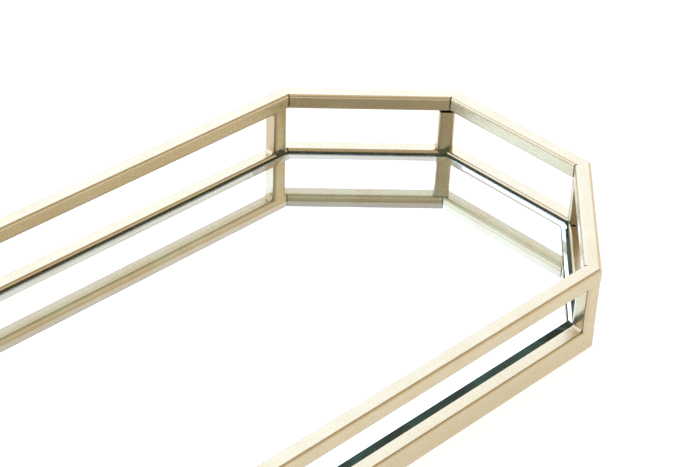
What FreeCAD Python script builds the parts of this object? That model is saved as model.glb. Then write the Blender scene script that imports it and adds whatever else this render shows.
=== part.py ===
import FreeCAD, Part
import math
import os

from FreeCAD import Placement, Rotation, Vector

# A low vanity tray: an elongated octagon of two tube loops joined by eight posts, with a bevelled
# mirror plate let into the lower loop. Millimetres. X runs along the tray, Y across it and Z up. The
# origin is the centre of the footprint, on the surface that the tray stands on.

# Overall sizes of the frame
tray_length = 400.0          # over the two ends
tray_width = 205.0           # over the two long sides
end_length = 87.0            # outer length of each straight end
corner_run = 63.5            # how far along X each slanted corner side reaches
frame_height = 43.5          # underside of the bottom rails to the top of the top rails

# Tube
tube_width = 8.0             # width of every tube, and height of the top rails
bottom_tube_height = 12.0    # the bottom rails are half as tall again
tube_wall = 1.0
tube_edge_radius = 1.6       # outside radius of the rolled tube's long edges
least_bore_radius = 0.2      # inside radius of those edges where the wall takes up all of the outside one

# Welded joints
mitre_gap = 0.7              # saw gap between two mitred rails, filled by weld
slit_depth = 1.5             # depth of the stretch at the inner face that is left unfilled
post_gap = 0.6               # gap between a post's end and the rail, filled by weld
tack_share = 0.55            # share of a post's depth that is filled where it is only tacked outside
weld_sink = 0.04             # a dressed weld lies this far below the tube's faces
weld_fillet = 2.2            # radius of the concave weld beside a post
back_post_setback = 3.8      # corner to the nearest face of a post on the back side
front_post_setback = -0.9    # on the front side it stands past the corner, so its rolled edge is flush
end_post_setback = 0.4       # the same for the posts that stand on the slanted sides

# Mirror plate, counted down from the top of the bottom rails
mirror_recess = 0.5          # drop from the rail's top to the glass
glass_thickness = 4.0
bevel_width = 2.9
bevel_depth = 1.8
silvering_thickness = 0.15   # silver and its protective paint
glass_clearance = 0.4        # glass edge to rail

# Base board and how it is held
tape_thickness = 0.85
tape_width = 20.0
tape_length = 120.0
tape_pitch = 60.0
tape_count = 5
board_clearance = 0.6        # board edge to rail
tab_thickness = 1.5
tab_width = 16.0
tab_reach = 14.0             # from the rail's inner face inwards
tab_pitch = 150.0            # between the two tabs on a long side
tab_recess = 0.5             # tab's underside above the rail's underside
screw_shank_radius = 1.4
screw_head_radius = 2.8
screw_head_height = 1.3
screw_inset = 8.0            # screw's axis from the rail's inner face
screw_bite_share = 0.75      # share of the board's thickness that the screw goes into
screw_tip_radius = 0.35
driver_slot_length = 3.0
driver_slot_width = 0.6
driver_slot_depth = 0.7
head_clearance = 0.1         # round the screw's head in the tab

# Felt lining
felt_proud = 0.4             # the felt stands below the rails by this much
felt_clearance = 1.0         # felt's edge to the rails and to the tabs

# Heights
rail_base = felt_proud
bottom_rail_top = rail_base + bottom_tube_height
frame_top = rail_base + frame_height
top_rail_base = frame_top - tube_width
glass_top = bottom_rail_top - mirror_recess
glass_base = glass_top - glass_thickness
silvering_base = glass_base - silvering_thickness
board_top = silvering_base - tape_thickness
tab_base = rail_base + tab_recess
board_base = tab_base + tab_thickness

# Drawing aids
run_past = 3 * tube_width    # a rail is drawn this far past its side before it is mitred
cut_past = 1.0               # a cutting shape passes the top and bottom of what it cuts by this much

SIDE_NAMES = ["front_right", "right", "back_right", "back", "back_left", "left", "front_left", "front"]
FRONT = SIDE_NAMES.index("front")
BACK = SIDE_NAMES.index("back")


def outer_corners():
    """The frame's eight outer corners, anticlockwise from the front right, where side 0 starts."""
    half_length = tray_length / 2
    half_width = tray_width / 2
    half_end = end_length / 2
    shoulder = half_length - corner_run
    right = [(shoulder, -half_width), (half_length, -half_end),
             (half_length, half_end), (shoulder, half_width)]
    left = [(-x, y) for x, y in reversed(right)]
    return [Vector(x, y, 0) for x, y in right + left]


CORNERS = outer_corners()


def side_direction(side):
    """Unit vector along a side."""
    return (CORNERS[(side + 1) % 8] - CORNERS[side]).normalize()


def inward(side):
    """Unit vector from a side towards the middle of the tray."""
    along = side_direction(side)
    return Vector(-along.y, along.x, 0)


def side_length(side):
    return (CORNERS[(side + 1) % 8] - CORNERS[side]).Length


def corner_at(corner, depth):
    """Where the two sides that meet at a corner meet again when both are moved inwards by depth."""
    before = inward((corner - 1) % 8)
    after = inward(corner)
    scale = depth / (1 + before.dot(after))
    return CORNERS[corner] + (before + after) * scale


def on_side(side, distance=0.0, depth=0.0, height=0.0):
    """A placement whose X runs along a side and whose Y points inwards."""
    along = side_direction(side)
    turn = Rotation(Vector(0, 0, 1), math.degrees(math.atan2(along.y, along.x)))
    place = CORNERS[side] + along * distance + inward(side) * depth + Vector(0, 0, height)
    return Placement(place, turn)


def prism(points, base, height):
    """A vertical prism on a closed outline of points."""
    outline = [Vector(point.x, point.y, base) for point in points]
    face = Part.Face(Part.makePolygon(outline + outline[:1]))
    return face.extrude(Vector(0, 0, height))


def octagon(inset, base, height):
    """A plate with the tray's outline, moved inwards by inset."""
    return prism([corner_at(corner, inset) for corner in range(8)], base, height)


def rounded_rectangle(width, height, radius):
    """The outline of a tube: a closed wire in the YZ plane with one corner at the origin."""
    half = math.sqrt(0.5)
    centres = [(radius, radius), (width - radius, radius), (width - radius, height - radius),
               (radius, height - radius)]
    starts = [(-1, 0), (0, -1), (1, 0), (0, 1)]
    middles = [(-half, -half), (half, -half), (half, half), (-half, half)]
    arcs = []
    for number, (centre_y, centre_z) in enumerate(centres):
        directions = [starts[number], middles[number], starts[(number + 1) % 4]]
        arcs.append([Vector(0, centre_y + radius * y, centre_z + radius * z) for y, z in directions])
    edges = []
    for number, arc in enumerate(arcs):
        edges.append(Part.Arc(*arc).toShape())
        edges.append(Part.LineSegment(arc[2], arcs[(number + 1) % 4][0]).toShape())
    return Part.Wire(edges)


def bar(width, height, length, sink=0.0):
    """A solid bar along X with the tube's outline, drawn in by sink on every face. One long edge of
    the outline that isn't drawn in is the X axis."""
    radius = max(tube_edge_radius - sink, least_bore_radius)
    outline = rounded_rectangle(width - 2 * sink, height - 2 * sink, radius)
    outline.translate(Vector(0, sink, sink))
    return Part.Face(outline).extrude(Vector(length, 0, 0))


def rail_bar(side, height, base, hollow):
    """A side's tube before it is mitred, longer than the side at both ends."""
    length = side_length(side) + 2 * run_past
    solid = bar(tube_width, height, length)
    if hollow:
        solid = solid.cut(bar(tube_width, height, length, tube_wall))
    solid.Placement = on_side(side, -run_past, 0, base)
    return solid


def mitre_cell(side, base, height, setback):
    """The space that a mitred rail may fill: between its two mitres, each drawn back by setback."""
    along = side_direction(side)
    end = (side + 1) % 8
    reach = tube_width / 2
    points = [corner_at(side, -reach) + along * setback, corner_at(end, -reach) - along * setback,
              corner_at(end, tube_width + reach) - along * setback,
              corner_at(side, tube_width + reach) + along * setback]
    return prism(points, base - cut_past, height + 2 * cut_past)


def rail(side, height, base, hollow=True, setback=mitre_gap / 2):
    """One mitred rail of a loop."""
    return rail_bar(side, height, base, hollow).common(mitre_cell(side, base, height, setback))


def solid_loop(height, base):
    """A whole loop as one filled ring, for cutting what meets it."""
    pieces = [rail(side, height, base, hollow=False, setback=0.0) for side in range(8)]
    return pieces[0].multiFuse(pieces[1:])


def mitre_weld(corner, height, base):
    """The weld between the two rails that meet at a corner, flush with both, open at the inner face."""
    halves = []
    filled = tube_width - slit_depth
    for side, sign in ((corner, 1), ((corner - 1) % 8, -1)):
        shift = side_direction(side) * (sign * mitre_gap / 2)
        outer = corner_at(corner, -tube_width / 2)
        inner = corner_at(corner, filled)
        gap = prism([outer, inner, inner + shift, outer + shift], base - cut_past, height + 2 * cut_past)
        halves.append(rail_bar(side, height, base, True).common(gap))
    return halves[0].fuse(halves[1]).removeSplitter()


def post_distance(side, at_start, setback):
    """Where along its side a post begins."""
    if at_start:
        return setback
    return side_length(side) - setback - tube_width


def upright(side, distance, base, height, sink=0.0):
    """A solid upright with the tube's outline, its outer face flush with its side or sunk by sink."""
    solid = bar(tube_width, tube_width, height, sink)
    solid.Placement = Placement(Vector(tube_width, 0, 0), Rotation(Vector(0, 1, 0), -90))
    holder = Part.makeCompound([solid])
    holder.Placement = on_side(side, distance, 0, base)
    return holder.Solids[0]


def post(side, distance):
    """One post, short of both rails by the weld gap."""
    base = bottom_rail_top + post_gap
    height = top_rail_base - post_gap - base
    return upright(side, distance, base, height).cut(upright(side, distance, base, height, tube_wall))


def end_weld(side, distance, at_head, tacked, loop):
    """The weld in the gap at one end of a post. It also fills the grooves that the rail's rounded
    edges leave, and is dressed to just below the faces. A tacked weld stays open at the inner face."""
    gap_base = top_rail_base - post_gap if at_head else bottom_rail_top
    base = gap_base if at_head else gap_base - tube_edge_radius
    weld = upright(side, distance, base, post_gap + tube_edge_radius, weld_sink).cut(loop)
    weld = weld.cut(upright(side, distance, gap_base, post_gap, tube_wall))
    if tacked:
        keep = Part.makeBox(3 * tube_width, tube_width * tack_share + tube_width, 4 * tube_width)
        keep.Placement = on_side(side, distance - tube_width, -tube_width, gap_base - 2 * tube_width)
        weld = weld.common(keep)
    return weld.Solids


def fillet_weld(side, distance, at_start, at_head):
    """The concave weld on the face of a post that looks along its side, away from the corner."""
    size = weld_fillet
    hollow_centre = Vector(size, 0, size)
    bend = Vector(size - size * math.sqrt(0.5), 0, size - size * math.sqrt(0.5))
    edges = [Part.LineSegment(Vector(0, 0, size), Vector(0, 0, 0)).toShape(),
             Part.LineSegment(Vector(0, 0, 0), Vector(size, 0, 0)).toShape(),
             Part.Arc(Vector(size, 0, 0), bend, Vector(0, 0, size)).toShape()]
    width = tube_width - 2 * tube_edge_radius
    solid = Part.Face(Part.Wire(edges)).extrude(Vector(0, width, 0))
    if at_head:
        solid = solid.mirror(Vector(0, 0, 0), Vector(0, 0, 1))
    if not at_start:
        solid = solid.mirror(Vector(0, 0, 0), Vector(1, 0, 0))
    face = distance + tube_width if at_start else distance
    level = top_rail_base if at_head else bottom_rail_top
    holder = Part.makeCompound([solid])
    holder.Placement = on_side(side, face, tube_edge_radius, level)
    return holder.Solids[0]


def glass_plate():
    """The mirror's glass: a plate with a polished bevel round its upper edge."""
    inset = tube_width + glass_clearance
    edge_height = glass_thickness - bevel_depth
    body = octagon(inset, glass_base, edge_height)
    wires = []
    for extra, height in ((0, glass_top - bevel_depth), (bevel_width, glass_top)):
        points = [corner_at(corner, inset + extra) for corner in range(8)]
        points = [Vector(point.x, point.y, height) for point in points]
        wires.append(Part.makePolygon(points + points[:1]))
    return body.fuse(Part.makeLoft(wires, True, True)).removeSplitter()


def tab_places():
    """Side and distance along it of the middle of each support tab."""
    places = []
    for side in (FRONT, BACK):
        middle = side_length(side) / 2
        places += [(side, middle - tab_pitch / 2), (side, middle + tab_pitch / 2)]
    for side in (0, 2, 4, 6):
        places.append((side, side_length(side) / 2))
    return places


def on_tab(solid, side, middle, depth, height):
    """Moves a solid made at the origin to a tab, keeping its own placement."""
    holder = Part.makeCompound([solid])
    holder.Placement = on_side(side, middle, tube_width + depth, height)
    return holder.Solids[0]


def screw_hole(radius_spare):
    """The countersunk hole through a tab, made at the origin, opening downwards."""
    cone = Part.makeCone(screw_head_radius + radius_spare, screw_shank_radius + radius_spare,
                         screw_head_height)
    shank = Part.makeCylinder(screw_shank_radius + radius_spare, tab_thickness)
    return cone.fuse(shank)


def support_tab(side, middle):
    """A flat steel tab, welded by its edge to the bottom rail's inner face."""
    plate = Part.makeBox(tab_width, tab_reach, tab_thickness, Vector(-tab_width / 2, 0, 0))
    hole = screw_hole(head_clearance)
    hole.translate(Vector(0, screw_inset, 0))
    return on_tab(plate.cut(hole), side, middle, 0, tab_base)


def board_screw(side, middle):
    """A countersunk screw with a cross slot, driven up through a tab into the board."""
    bite = (board_top - board_base) * screw_bite_share
    tip = min(screw_shank_radius, bite / 2)
    shank = Part.makeCylinder(screw_shank_radius, tab_thickness + bite - tip)
    point = Part.makeCone(screw_shank_radius, screw_tip_radius, tip,
                          Vector(0, 0, tab_thickness + bite - tip))
    head = Part.makeCone(screw_head_radius, screw_shank_radius, screw_head_height)
    screw = head.fuse([shank, point]).removeSplitter()
    for length, width in ((driver_slot_length, driver_slot_width), (driver_slot_width, driver_slot_length)):
        screw = screw.cut(Part.makeBox(length, width, driver_slot_depth, Vector(-length / 2, -width / 2, 0)))
    return on_tab(screw, side, middle, screw_inset, tab_base)


def base_board():
    """The fibreboard under the glass, with a pilot hole for each screw."""
    board = octagon(tube_width + board_clearance, board_base, board_top - board_base)
    return board.cut([board_screw(side, middle) for side, middle in tab_places()])


def felt_lining():
    """The felt under the board, cut clear of the rails and round the tabs."""
    felt = octagon(tube_width + felt_clearance, 0, board_base)
    width = tab_width + 2 * felt_clearance
    for side, middle in tab_places():
        notch = Part.makeBox(width, tab_reach + 2 * felt_clearance, board_base,
                             Vector(-width / 2, -felt_clearance, 0))
        felt = felt.cut(on_tab(notch, side, middle, 0, 0))
    return felt


def tape_strips():
    """Strips of foam tape across the board, which hold the glass down."""
    strips = []
    for number in range(tape_count):
        middle = (number - (tape_count - 1) / 2) * tape_pitch
        corner = Vector(middle - tape_width / 2, -tape_length / 2, board_top)
        strips.append(Part.makeBox(tape_width, tape_length, tape_thickness, corner))
    return strips


def post_list():
    """Name, side, which end of the side, setback, and whether head and foot are only tacked."""
    posts = []
    for hand, back_side, front_side in (("right", 2, 0), ("left", 4, 6)):
        right = hand == "right"
        posts.append((f"post_back_{hand}", BACK, right, back_post_setback, False, False))
        posts.append((f"post_back_{hand}_end", back_side, right, end_post_setback, True, False))
        posts.append((f"post_front_{hand}_end", front_side, not right, end_post_setback, False, True))
        posts.append((f"post_front_{hand}", FRONT, not right, front_post_setback, False, False))
    return posts


def frame_parts():
    """The welded frame: rails, posts and the welds that join them."""
    parts = {}
    for side, name in enumerate(SIDE_NAMES):
        parts[f"top_rail_{name}"] = [rail(side, tube_width, top_rail_base)]
        parts[f"bottom_rail_{name}"] = [rail(side, bottom_tube_height, rail_base)]
    parts["top_mitre_welds"] = [mitre_weld(corner, tube_width, top_rail_base) for corner in range(8)]
    parts["bottom_mitre_welds"] = [mitre_weld(corner, bottom_tube_height, rail_base) for corner in range(8)]
    top_loop = solid_loop(tube_width, top_rail_base)
    bottom_loop = solid_loop(bottom_tube_height, rail_base)
    head_welds = []
    foot_welds = []
    for name, side, at_start, setback, head_tacked, foot_tacked in post_list():
        distance = post_distance(side, at_start, setback)
        parts[name] = [post(side, distance)]
        head_welds += end_weld(side, distance, True, head_tacked, top_loop)
        foot_welds += end_weld(side, distance, False, foot_tacked, bottom_loop)
        if not head_tacked:
            head_welds.append(fillet_weld(side, distance, at_start, True))
        if not foot_tacked:
            foot_welds.append(fillet_weld(side, distance, at_start, False))
    parts["post_head_welds"] = head_welds
    parts["post_foot_welds"] = foot_welds
    return parts


def base_parts():
    """The mirror and everything under it."""
    return {
        "mirror_glass": [glass_plate()],
        "mirror_silvering": [octagon(tube_width + glass_clearance, silvering_base, silvering_thickness)],
        "mounting_tape": tape_strips(),
        "base_board": [base_board()],
        "support_tabs": [support_tab(side, middle) for side, middle in tab_places()],
        "board_screws": [board_screw(side, middle) for side, middle in tab_places()],
        "felt_lining": [felt_lining()],
    }


def main():
    os.makedirs("parts", exist_ok=True)
    parts = {**frame_parts(), **base_parts()}
    for name, solids in parts.items():
        pieces = []
        for solid in solids:
            pieces += solid.Solids
        shape = pieces[0] if len(pieces) == 1 else Part.makeCompound(pieces)
        shape.exportStep(f"parts/{name}.step")
        box = shape.BoundBox
        print(f"{name}: {len(pieces)} solid(s), valid {shape.isValid()}, volume {shape.Volume:.1f}, "
              f"box {box.XLength:.1f} x {box.YLength:.1f} x {box.ZLength:.1f}")


main()
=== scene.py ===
# %% [markdown]
# # A bevelled mirror tray in an octagonal frame of gold tube
#
# The tray is a low octagon: two loops of square steel tube, one above the other, joined by eight
# short posts and plated a pale champagne gold. A thick mirror with a bevelled rim lies inside the
# lower loop. This lesson takes the finished engineering model as a fixed frame and gives every piece
# its real surface. Lengths are metres, X runs along the tray, Y across it and Z up.

# %% Load the frame
import math

import bmesh
import bpy
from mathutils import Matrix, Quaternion, Vector


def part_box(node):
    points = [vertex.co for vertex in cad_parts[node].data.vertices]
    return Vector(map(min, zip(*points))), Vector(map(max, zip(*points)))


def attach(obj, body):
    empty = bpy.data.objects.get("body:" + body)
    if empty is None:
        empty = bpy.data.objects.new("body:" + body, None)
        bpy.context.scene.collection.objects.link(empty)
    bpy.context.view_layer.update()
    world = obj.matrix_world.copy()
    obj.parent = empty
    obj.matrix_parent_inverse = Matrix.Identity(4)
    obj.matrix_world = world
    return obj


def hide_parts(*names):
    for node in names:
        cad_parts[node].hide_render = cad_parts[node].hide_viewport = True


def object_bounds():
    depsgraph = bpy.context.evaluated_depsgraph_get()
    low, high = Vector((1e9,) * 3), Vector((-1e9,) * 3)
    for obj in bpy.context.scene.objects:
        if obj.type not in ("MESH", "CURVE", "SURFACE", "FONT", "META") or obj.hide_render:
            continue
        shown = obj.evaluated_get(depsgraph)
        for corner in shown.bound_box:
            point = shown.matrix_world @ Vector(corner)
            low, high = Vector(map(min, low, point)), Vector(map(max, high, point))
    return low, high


MM = 0.001
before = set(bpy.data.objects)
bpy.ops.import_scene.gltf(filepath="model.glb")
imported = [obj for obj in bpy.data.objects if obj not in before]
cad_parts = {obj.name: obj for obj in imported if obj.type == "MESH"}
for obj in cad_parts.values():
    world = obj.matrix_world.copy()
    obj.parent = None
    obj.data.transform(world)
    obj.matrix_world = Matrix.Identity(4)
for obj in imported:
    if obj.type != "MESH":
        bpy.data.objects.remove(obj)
cad_low, cad_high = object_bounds()
tray_size = cad_high - cad_low
print("frame loaded:", len(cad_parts), "nodes,", [round(side / MM, 1) for side in tray_size], "mm")

# %% [markdown]
# ## Camera
#
# The tray is long, and only its right-hand half is in view: the camera stands off the front left
# and looks down across the mirror at the right end. A longish lens keeps the two long rails nearly
# parallel. The camera is placed by the point that it looks at, its distance and three angles, which
# are easier to judge than a position.

# %% Camera
aim = Vector((108.3 * MM, 24.2 * MM, 9.4 * MM))
camera_distance = 911.6 * MM
camera_turn = math.radians(45.95)       # from looking along +Y towards looking along +X
camera_drop = math.radians(35.17)       # below the horizon
camera_roll = math.radians(2.58)
camera_lens = 98.64

look = Vector((math.sin(camera_turn) * math.cos(camera_drop),
               math.cos(camera_turn) * math.cos(camera_drop), -math.sin(camera_drop)))
camera_data = bpy.data.cameras.new("camera")
camera_data.lens = camera_lens
camera_data.clip_start = 0.05
camera = bpy.data.objects.new("camera", camera_data)
bpy.context.scene.collection.objects.link(camera)
camera.location = aim - look * camera_distance
camera.rotation_mode = "QUATERNION"
camera.rotation_quaternion = look.to_track_quat("-Z", "Y") @ Quaternion((0, 0, 1), camera_roll)
bpy.context.scene.camera = camera
print("camera at", [round(value, 3) for value in camera.location])

# %% [markdown]
# ## Shader maths
#
# A finish is mostly arithmetic on a few noise patterns. Written as nodes it is unreadable, so a
# small class wraps a socket and lets Python's operators add the Math nodes. One method of the finish
# makes every other node: it takes the node's type, its settings and what goes into its sockets.


# %% Shader maths
class Wave:
    """A number that varies over a surface: a node's output, with Python's operators."""

    def __init__(self, finish, socket):
        self.finish = finish
        self.socket = socket

    def combine(self, operation, *inputs):
        return self.finish.add("ShaderNodeMath", {"operation": operation}, dict(enumerate(inputs)))

    def __add__(self, other):
        return self.combine("ADD", self, other)

    def __sub__(self, other):
        return self.combine("SUBTRACT", self, other)

    def __mul__(self, other):
        return self.combine("MULTIPLY", self, other)

    def __rsub__(self, other):
        return self.combine("SUBTRACT", other, self)

    __radd__ = __add__
    __rmul__ = __mul__

    def ramp(self, low, high):
        """0 below low, 1 above high and smooth between."""
        settings = {"interpolation_type": "SMOOTHSTEP"}
        return self.finish.add("ShaderNodeMapRange", settings,
                               {"Value": self, "From Min": low, "From Max": high}, "Result")


class Finish:
    """A material, or the world, and its node tree."""

    def __init__(self, name, owner=None):
        self.material = owner or bpy.data.materials.new(name)
        self.material.use_nodes = True
        self.tree = self.material.node_tree
        self.tree.nodes.clear()

    def add(self, kind, settings=None, inputs=None, output=0):
        """Adds a node. Inputs are numbers, colours or links, by socket name or number."""
        node = self.tree.nodes.new(kind)
        for key, value in (settings or {}).items():
            setattr(node, key, value)
        for key, value in (inputs or {}).items():
            socket = node.inputs[key]
            if isinstance(value, Wave):
                self.tree.links.new(value.socket, socket)
            else:
                socket.default_value = value
        return Wave(self, node.outputs[output]) if node.outputs else node

    def place(self):
        """The point on the object, in metres, in the object's own frame."""
        return self.add("ShaderNodeTexCoord", output="Object")

    def stretched(self, scale, turn=0.0):
        """Object coordinates turned about Z and stretched."""
        inputs = {"Vector": self.place(), "Rotation": (0, 0, turn), "Scale": scale}
        return self.add("ShaderNodeMapping", {"vector_type": "POINT"}, inputs)

    def noise(self, scale, detail=2.0, roughness=0.5, vector=None):
        inputs = {"Vector": vector or self.place(), "Scale": scale, "Detail": detail,
                  "Roughness": roughness}
        return self.add("ShaderNodeTexNoise", None, inputs)

    def blend(self, factor, first, second):
        """A colour between two colours."""
        node = self.tree.nodes.new("ShaderNodeMix")
        node.data_type = "RGBA"
        for socket, value in ((node.inputs[0], factor), (node.inputs[6], first), (node.inputs[7], second)):
            if isinstance(value, Wave):
                self.tree.links.new(value.socket, socket)
            else:
                socket.default_value = value if isinstance(value, float) else (*value, 1)
        return Wave(self, node.outputs[2])

    def bump(self, height, distance, strength=1.0):
        """A surface normal from a height between 0 and 1 that stands for a distance in metres."""
        return self.add("ShaderNodeBump", None,
                        {"Strength": strength, "Distance": distance, "Height": height}, "Normal")

    def surface(self, **inputs):
        """The main shader. Socket names are given with _ for a space."""
        named = {key.replace("_", " "): value for key, value in inputs.items()}
        for key, value in named.items():
            if isinstance(value, tuple) and len(value) == 3:
                named[key] = (*value, 1)
        return self.add("ShaderNodeBsdfPrincipled", None, named)

    def done(self, shader):
        self.add("ShaderNodeOutputMaterial", None, {"Surface": shader})
        return self.material


# %% [markdown]
# ## Light and floor
#
# A pale satin metal has hardly any colour of its own: it shows what stands round it. In this studio
# a big, cool white backdrop stands behind the tray, the camera's side of the room and what is above
# it are dimmer and warmer, and the floor glows white like a light table. So faces that look up turn
# towards the backdrop and stay cream, faces that look at the camera turn brown, and an edge that rolls
# over between them gets a dark line. One smooth sky does that, without lamps that would show in the
# mirror. Each part of it fades in between two values of a direction: behind, or up.

# %% Sky
backdrop = 1.98                         # brightness of the backdrop, with the floor near 1
room = 0.70                             # of the camera's side
room_lean = 0.42                        # how much lighter the right side is, and darker the left
upper_room = 0.52                       # above the camera
ceiling = 0.90                          # overhead
skyline = 1.12                          # of the white band just above the floor, all the way round
backdrop_side = (0.28, 0.50)            # where the backdrop begins, towards the back
backdrop_top = (0.74, 0.92)             # where it ends, upwards
skyline_top = (0.12, 0.40)
upper_room_start = (0.58, 0.74)
ceiling_start = (0.88, 0.98)
backdrop_colour = (0.87, 1.0, 1.27)
room_colour = (1.12, 0.97, 0.77)

world = bpy.data.worlds.new("studio")
bpy.context.scene.world = world
sky = Finish("studio", world)
direction = sky.add("ShaderNodeTexCoord", output="Generated")
across = sky.add("ShaderNodeSeparateXYZ", None, {0: direction}, "X")
behind = sky.add("ShaderNodeSeparateXYZ", None, {0: direction}, "Y")
up = sky.add("ShaderNodeSeparateXYZ", None, {0: direction}, "Z")
on_backdrop = behind.ramp(*backdrop_side) * (1 - up.ramp(*backdrop_top))
low_band = 1 - up.ramp(*skyline_top)
level = room + room_lean * across
level = level + up.ramp(*upper_room_start) * (upper_room - level)
level = level + up.ramp(*ceiling_start) * (ceiling - level)
level = level + on_backdrop * (backdrop - level)
level = level + low_band * (skyline - level)
colour = sky.blend(low_band, sky.blend(on_backdrop, room_colour, backdrop_colour), (1.0, 1.0, 1.0))
background = sky.add("ShaderNodeBackground", None, {"Color": colour, "Strength": level})
sky.add("ShaderNodeOutputWorld", None, {"Surface": background})
bpy.context.scene.view_settings.view_transform = "Standard"

# %% Floor
floor_span = 40.0
floor_drop = 0.2 * MM                   # keeps the floor just clear of the felt
floor_glow = 0.84                       # what the floor gives of its own, like a light table
bpy.ops.object.select_all(action="DESELECT")
bpy.ops.mesh.primitive_plane_add(size=floor_span, location=(0, 0, -floor_drop))
floor = bpy.context.object
floor.name = "floor"
white = Finish("floor_white")
floor_shade = 0.34 + 0.03 * white.noise(9.0, 3.0)
floor_colour = white.add("ShaderNodeCombineColor", None, {0: floor_shade, 1: floor_shade, 2: floor_shade})
floor.data.materials.append(white.done(white.surface(
    Base_Color=floor_colour, Roughness=0.8, Specular_IOR_Level=0.0,
    Emission_Color=(1, 1, 1), Emission_Strength=floor_glow)))


# %% [markdown]
# ## The gold finish
#
# The frame is plated a champagne gold under a clear lacquer. Close up it is satin rather than
# polished: the plating has a fine speckle, the tube below adds faint drawn lines along its length,
# and the gold is a touch warmer at a weld. Plating is a metal, so Metallic is high, and a thin clear
# coat adds the paler sheen at a shallow angle. The drawn lines have to follow each tube, so there is
# one finish for each direction of tube.

# %% Gold finishes
champagne = (0.645, 0.555, 0.385)
warm_champagne = (0.57, 0.475, 0.295)
weld_gold = (0.645, 0.545, 0.37)
grain_along = 60.0                      # cycles per metre of the drawn lines, along a tube
grain_across = 1500.0                   # and across it
speckle_scale = 1500.0
cloud_scale = 45.0
grain_height = 0.035 * MM


def gold_finish(name, colour, warm_colour, turn=0.0, upright=False, roughness=0.23):
    """Champagne gold with its grain along a tube that is turned from X, or upright."""
    gold = Finish(name)
    speckle = gold.noise(speckle_scale, 2.0, 0.7)
    cloud = gold.noise(cloud_scale, 3.0)
    scale = ((grain_across, grain_across, grain_along) if upright
             else (grain_along, grain_across, grain_across))
    drawn = gold.noise(1.0, 2.0, 0.5, gold.stretched(scale, -turn))
    tone = (0.35 * cloud + 0.65 * speckle).ramp(0.34, 0.66)
    coat = gold.surface(
        Base_Color=gold.blend(tone, warm_colour, colour),
        Metallic=0.92,
        Roughness=roughness + 0.20 * (speckle - 0.5) + 0.06 * (drawn - 0.5),
        Normal=gold.bump(0.75 * speckle + 0.25 * drawn, grain_height, 0.7),
        Coat_Weight=0.25,
        Coat_Roughness=0.22)
    return gold.done(coat)


# %% [markdown]
# ## Modelling helpers
#
# Every tube is modelled the way that it is made: a straight bar with rolled edges is cut to length by
# a plane and its end is opened. The helpers below do one such step each. In edit mode an operator
# acts on what is selected, so each step selects its own edges or faces by where they point.


# %% Modelling helpers
def select_only(piece):
    bpy.ops.object.select_all(action="DESELECT")
    piece.select_set(True)
    bpy.context.view_layer.objects.active = piece


def pick(piece, kind, wanted):
    """In edit mode, selects only the edges or faces that a test wants. Returns how many."""
    bpy.ops.mesh.select_mode(type=kind)
    bpy.ops.mesh.select_all(action="DESELECT")
    mesh = bmesh.from_edit_mesh(piece.data)
    found = [part for part in (mesh.edges if kind == "EDGE" else mesh.faces) if wanted(part)]
    for part in found:
        part.select_set(True)
    bmesh.update_edit_mesh(piece.data)
    return len(found)


parallel = 0.99                         # cosine above which two directions count as one
just_touching = 0.01 * MM               # distance below which two points count as one
smooth_angle = math.radians(32)


def edge_direction(edge):
    return (edge.verts[1].co - edge.verts[0].co).normalized()


def keep_behind(piece, point, outwards):
    """In edit mode, saws the piece through a plane, throws away what lies outwards and closes the cut."""
    bpy.ops.mesh.select_all(action="SELECT")
    bpy.ops.mesh.bisect(plane_co=point, plane_no=outwards, clear_outer=True, use_fill=True)


def rolled_bar(name, middle, size, turn, along, radius, steps):
    """A bar of a size, turned about Z, with the edges that run along a direction rolled round.
    It is left in edit mode."""
    bpy.ops.mesh.primitive_cube_add(size=1, location=middle, rotation=(0, 0, turn), scale=size)
    piece = bpy.context.object
    piece.name = name
    piece.data.name = name
    bpy.ops.object.transform_apply(location=True, rotation=True, scale=True)
    bpy.ops.object.mode_set(mode="EDIT")
    pick(piece, "EDGE", lambda edge: abs(edge_direction(edge).dot(along)) > parallel)
    bpy.ops.mesh.bevel(offset=radius, segments=steps, profile=0.5, affect="EDGES")
    return piece


def open_end(piece, outwards, bore):
    """In edit mode, bores the end face that points outwards. The bore runs as a vector."""
    pick(piece, "FACE", lambda face: face.normal.dot(outwards) > parallel)
    bpy.ops.mesh.inset(thickness=tube_wall, use_even_offset=True)
    bpy.ops.mesh.extrude_region_move(TRANSFORM_OT_translate={"value": bore})


def shade_rolled(piece):
    """Smooth shading over the rolled edges, with the flat faces left flat."""
    bpy.ops.object.mode_set(mode="OBJECT")
    select_only(piece)
    bpy.ops.object.shade_smooth_by_angle(angle=smooth_angle)
    bpy.ops.object.modifier_add(type="WEIGHTED_NORMAL")
    piece.modifiers[-1].keep_sharp = True
    bpy.ops.object.modifier_apply(modifier=piece.modifiers[-1].name)


def finish_piece(piece, material, slot, *nodes):
    """Hands a piece its finish and its place on the tray."""
    bpy.ops.object.mode_set(mode="OBJECT")
    piece.data.materials.clear()
    piece.data.materials.append(material)
    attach(piece, "root")
    if nodes:
        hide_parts(*nodes)
    return piece


# %% [markdown]
# ## The frame's plan
#
# Everything on the frame follows from its outline. The eight corners come from the boxes of the
# straight rails, and each rail is then placed by its side: how far along it, how far in from its outer
# face, and how high. A post keeps the box of its engineering shape and takes its turn from its side.

# %% Outline
mitre_gap = 0.7 * MM                    # what the saw leaves between two rails
tube_wall = 1.0 * MM
edge_radius = 1.6 * MM
edge_steps = 8
SIDES = ["front_right", "right", "back_right", "back", "back_left", "left", "front_left", "front"]

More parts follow.
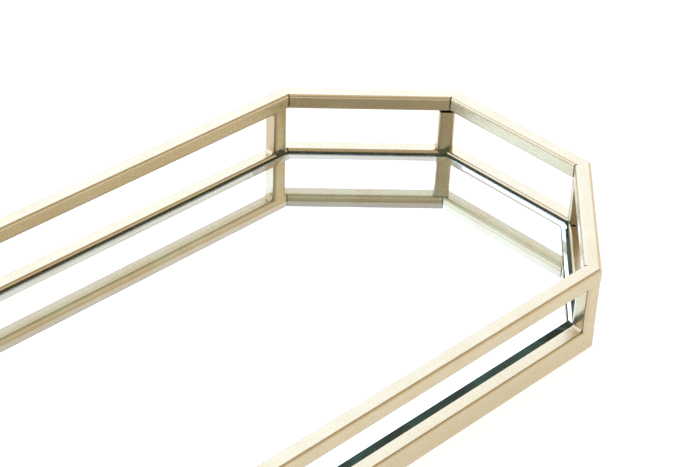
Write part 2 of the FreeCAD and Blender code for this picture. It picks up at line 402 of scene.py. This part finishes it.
end_rail_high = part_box("top_rail_right")[1]
long_rail_low, long_rail_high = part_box("top_rail_back")
tube_width = long_rail_high.z - long_rail_low.z
half_length = end_rail_high.x
half_width = long_rail_high.y
half_end = end_rail_high.y + mitre_gap / 2
shoulder = long_rail_high.x + mitre_gap / 2
right_half = [(shoulder, -half_width), (half_length, -half_end),
              (half_length, half_end), (shoulder, half_width)]
corners = [Vector((x, y, 0)) for x, y in right_half + [(-x, y) for x, y in reversed(right_half)]]
UP = Vector((0, 0, 1))


def side_line(side):
    """A side's first corner, its direction, its direction inwards, its length and its turn from X."""
    start = corners[side]
    run = corners[(side + 1) % 8] - start
    along = run.normalized()
    return start, along, UP.cross(along), run.length, math.atan2(along.y, along.x)


def mitre_normal(corner):
    """The direction along the corner's mitre plane's normal, pointing from one side to the next."""
    before = side_line((corner - 1) % 8)[1]
    after = side_line(corner)[1]
    return (before + after).normalized()


print("outline:", [(round(corner.x / MM, 1), round(corner.y / MM, 1)) for corner in corners])

# %% [markdown]
# ## Rails
#
# Sixteen lengths of tube make the two loops. Each is mitred at both ends and stops a saw cut short of
# its neighbour, and the cut stays open at the inner corner, where the weld doesn't reach, so the dark
# bore shows there. A bar is made longer than needed, sawn at both mitres, and bored at the cuts.

# %% Rails
spare = 3 * tube_width
bore_depth = 14 * MM
rail_golds = {}


def grain_turn(side):
    """The turn of a side's tube as an angle that opposite sides share."""
    return round(side_line(side)[4] % math.pi, 4)


def gold_for(side):
    turn = grain_turn(side)
    if turn not in rail_golds:
        name = f"gold_turned_{round(math.degrees(turn))}"
        rail_golds[turn] = gold_finish(name, champagne, warm_champagne, turn)
    return rail_golds[turn]


def make_rail(level, side):
    """One rail of the top or bottom loop."""
    node = f"{level}_rail_{SIDES[side]}"
    low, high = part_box(node)
    start, along, inwards, length, turn = side_line(side)
    middle = start + along * length / 2 + inwards * tube_width / 2 + UP * (low.z + high.z) / 2
    size = (length + 2 * spare, tube_width, high.z - low.z)
    piece = rolled_bar(f"{node}_tube", middle, size, turn, along, edge_radius, edge_steps)
    for corner, sign in ((side, -1), ((side + 1) % 8, 1)):
        outwards = mitre_normal(corner) * sign
        point = corners[corner] - along * (sign * mitre_gap / 2)
        keep_behind(piece, point, outwards)
        open_end(piece, outwards, -sign * bore_depth * along)
    shade_rolled(piece)
    return finish_piece(piece, gold_for(side), "frame_metal", node)


rails = [make_rail(level, side) for level in ("top", "bottom") for side in range(8)]
print("rails:", len(rails), "pieces,", sum(len(rail.data.polygons) for rail in rails), "faces")

# %% [markdown]
# ## Posts
#
# The eight posts are the same tube stood on end. Their outer faces are flush with the side that they
# stand on, and each is a little short at both ends, where the weld goes.

# %% Posts
upright_gold = gold_finish("gold_upright", champagne, warm_champagne, 0.0, True)
POSTS = {"post_back_right": 3, "post_back_right_end": 2, "post_front_right_end": 0, "post_front_right": 7,
         "post_back_left": 3, "post_back_left_end": 4, "post_front_left_end": 6, "post_front_left": 7}


def make_post(node, side):
    low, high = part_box(node)
    size = (tube_width, tube_width, high.z - low.z)
    turn = side_line(side)[4]
    piece = rolled_bar(f"{node}_tube", (low + high) / 2, size, turn, UP, edge_radius, edge_steps)
    for outwards in (UP, -UP):
        open_end(piece, outwards, -outwards * size[2] / 3)
    shade_rolled(piece)
    return finish_piece(piece, upright_gold, "frame_metal", node)


posts = [make_post(node, side) for node, side in POSTS.items()]
print("posts:", len(posts))

# %% [markdown]
# ## Welds
#
# The welds are small, dressed flush and plated with the frame, so the engineering shapes are right
# as they are. Those at the posts are a little warmer and rougher than the tube.

# %% Welds
warm_gold = gold_finish("gold_weld", weld_gold, warm_champagne, 0.0, False, 0.25)


def dress(node, material):
    """Gives a carried-over node its finish."""
    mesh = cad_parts[node].data
    mesh.materials.clear()
    mesh.materials.append(material)


for node in ("top_mitre_welds", "bottom_mitre_welds"):
    dress(node, rail_golds[0.0])
for node in ("post_head_welds", "post_foot_welds"):
    dress(node, warm_gold)

# %% [markdown]
# ## The mirror
#
# The mirror is 4 mm float glass with a wide polished bevel, silvered on its back. Its depth is worth
# modelling: the bevel bends what lies behind it, and along the near side light that enters the bevel
# is trapped between the silver and the top, so the strip there goes nearly black; its green there is a
# painted glow. The plate is therefore a real block of glass whose underside is the silver. The block
# is sawn to the octagon, its top is inset by the width of the bevel, and the rim is pushed down. Float
# glass is faintly green, which shows only where light stays inside it for long. That green is painted
# light: the glass is given a very weak, patchy green glow of its own, a painted glow that stands for it.

# %% Mirror
bevel_width = 2.9 * MM
bevel_depth = 1.8 * MM
silver_gap = 0.03 * MM                  # keeps the backing paint clear of the silver
glass_ior = 1.60                        # a little over float glass: the whole near bevel then traps light


def octagon_block(name, low, high, inset):
    """A block sawn to the tray's outline, drawn in by an inset. It is left in edit mode."""
    bpy.ops.mesh.primitive_cube_add(size=1, location=(low + high) / 2, scale=high - low)
    piece = bpy.context.object
    piece.name = name
    piece.data.name = name
    bpy.ops.object.transform_apply(location=True, rotation=True, scale=True)
    bpy.ops.object.mode_set(mode="EDIT")
    for side in (0, 2, 4, 6):
        start, _, inwards, _, _ = side_line(side)
        keep_behind(piece, start + inwards * inset, -inwards)
    return piece


patch_scale = 55.0
glass = Finish("glass")
# Painted light: the glass emits a weak, patchy green glow of its own, painted in for the green of light held
# inside the bevel.
painted_glow_patches = glass.noise(patch_scale, 2.0, 0.5).ramp(0.50, 0.58)
painted_green_glow = glass.blend(painted_glow_patches, (0.003, 0.007, 0.006), (0.005, 0.023, 0.018))
clear = glass.done(glass.surface(
    Base_Color=(0.96, 0.985, 0.97), Roughness=0.0, Transmission_Weight=1.0, IOR=glass_ior,
    Emission_Color=painted_green_glow, Emission_Strength=1.0))
silver_finish = Finish("silver")
silver = silver_finish.done(silver_finish.surface(Base_Color=(0.93, 0.94, 0.95), Metallic=1.0, Roughness=0.0))

glass_low, glass_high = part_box("mirror_glass")
glass_inset = half_width - glass_high.y
plate = octagon_block("mirror_plate", glass_low, glass_high, glass_inset)
pick(plate, "FACE", lambda face: face.normal.z > parallel)
bpy.ops.mesh.inset(thickness=bevel_width, use_even_offset=True)


def on_rim(edge):
    """Whether an edge is part of the plate's outer upper edge."""
    middle = (edge.verts[0].co + edge.verts[1].co) / 2
    level = all(abs(vert.co.z - glass_high.z) < just_touching for vert in edge.verts)
    depths = [(middle - side_line(side)[0]).dot(side_line(side)[2]) for side in range(8)]
    return level and min(depths) < glass_inset + just_touching


print("rim edges:", pick(plate, "EDGE", on_rim))
bpy.ops.transform.translate(value=(0, 0, -bevel_depth))
finish_piece(plate, clear, "mirror_glass", "mirror_glass")
plate.data.materials.append(silver)
for face in plate.data.polygons:
    face.use_smooth = False
    face.material_index = 1 if face.normal.z < -parallel else 0


# %% [markdown]
# ## Under the mirror
#
# Behind the silver come its protective paint, foam tape, a fibreboard base on welded tabs and a felt
# lining. Little of it ever shows, so these keep the engineering shapes and take plain finishes that
# wander a little between two colours.

# %% Plain finishes
def flat_finish(name, low, high, roughness, scale, metallic=0.0, bump_depth=0.0):
    """A finish that wanders between two colours."""
    plain = Finish(name)
    wander = plain.noise(scale, 4.0, 0.6)
    inputs = {"Base_Color": plain.blend(wander.ramp(0.3, 0.7), low, high), "Roughness": roughness,
              "Metallic": metallic}
    if bump_depth:
        inputs["Normal"] = plain.bump(wander, bump_depth)
    return plain.done(plain.surface(**inputs))


felt = flat_finish("felt", (0.030, 0.030, 0.032), (0.075, 0.075, 0.080), 0.95, 1400.0, 0.0, 0.2 * MM)
board = flat_finish("fibreboard", (0.30, 0.20, 0.12), (0.42, 0.30, 0.19), 0.85, 700.0, 0.0, 0.05 * MM)
zinc = flat_finish("zinc_steel", (0.55, 0.57, 0.60), (0.68, 0.70, 0.72), 0.38, 260.0, 0.9)
foam = flat_finish("foam_tape", (0.70, 0.70, 0.68), (0.82, 0.82, 0.80), 0.9, 900.0)
backing = flat_finish("backing_paint", (0.20, 0.24, 0.25), (0.27, 0.31, 0.32), 0.55, 120.0)

for node, material in (("felt_lining", felt), ("base_board", board), ("support_tabs", zinc),
                       ("board_screws", zinc), ("mounting_tape", foam)):
    dress(node, material)

paint_low, paint_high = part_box("mirror_silvering")
paint_high = Vector((paint_high.x, paint_high.y, paint_high.z - silver_gap))
paint = octagon_block("mirror_backing_paint", paint_low, paint_high, glass_inset)
finish_piece(paint, backing, "silvering", "mirror_silvering")
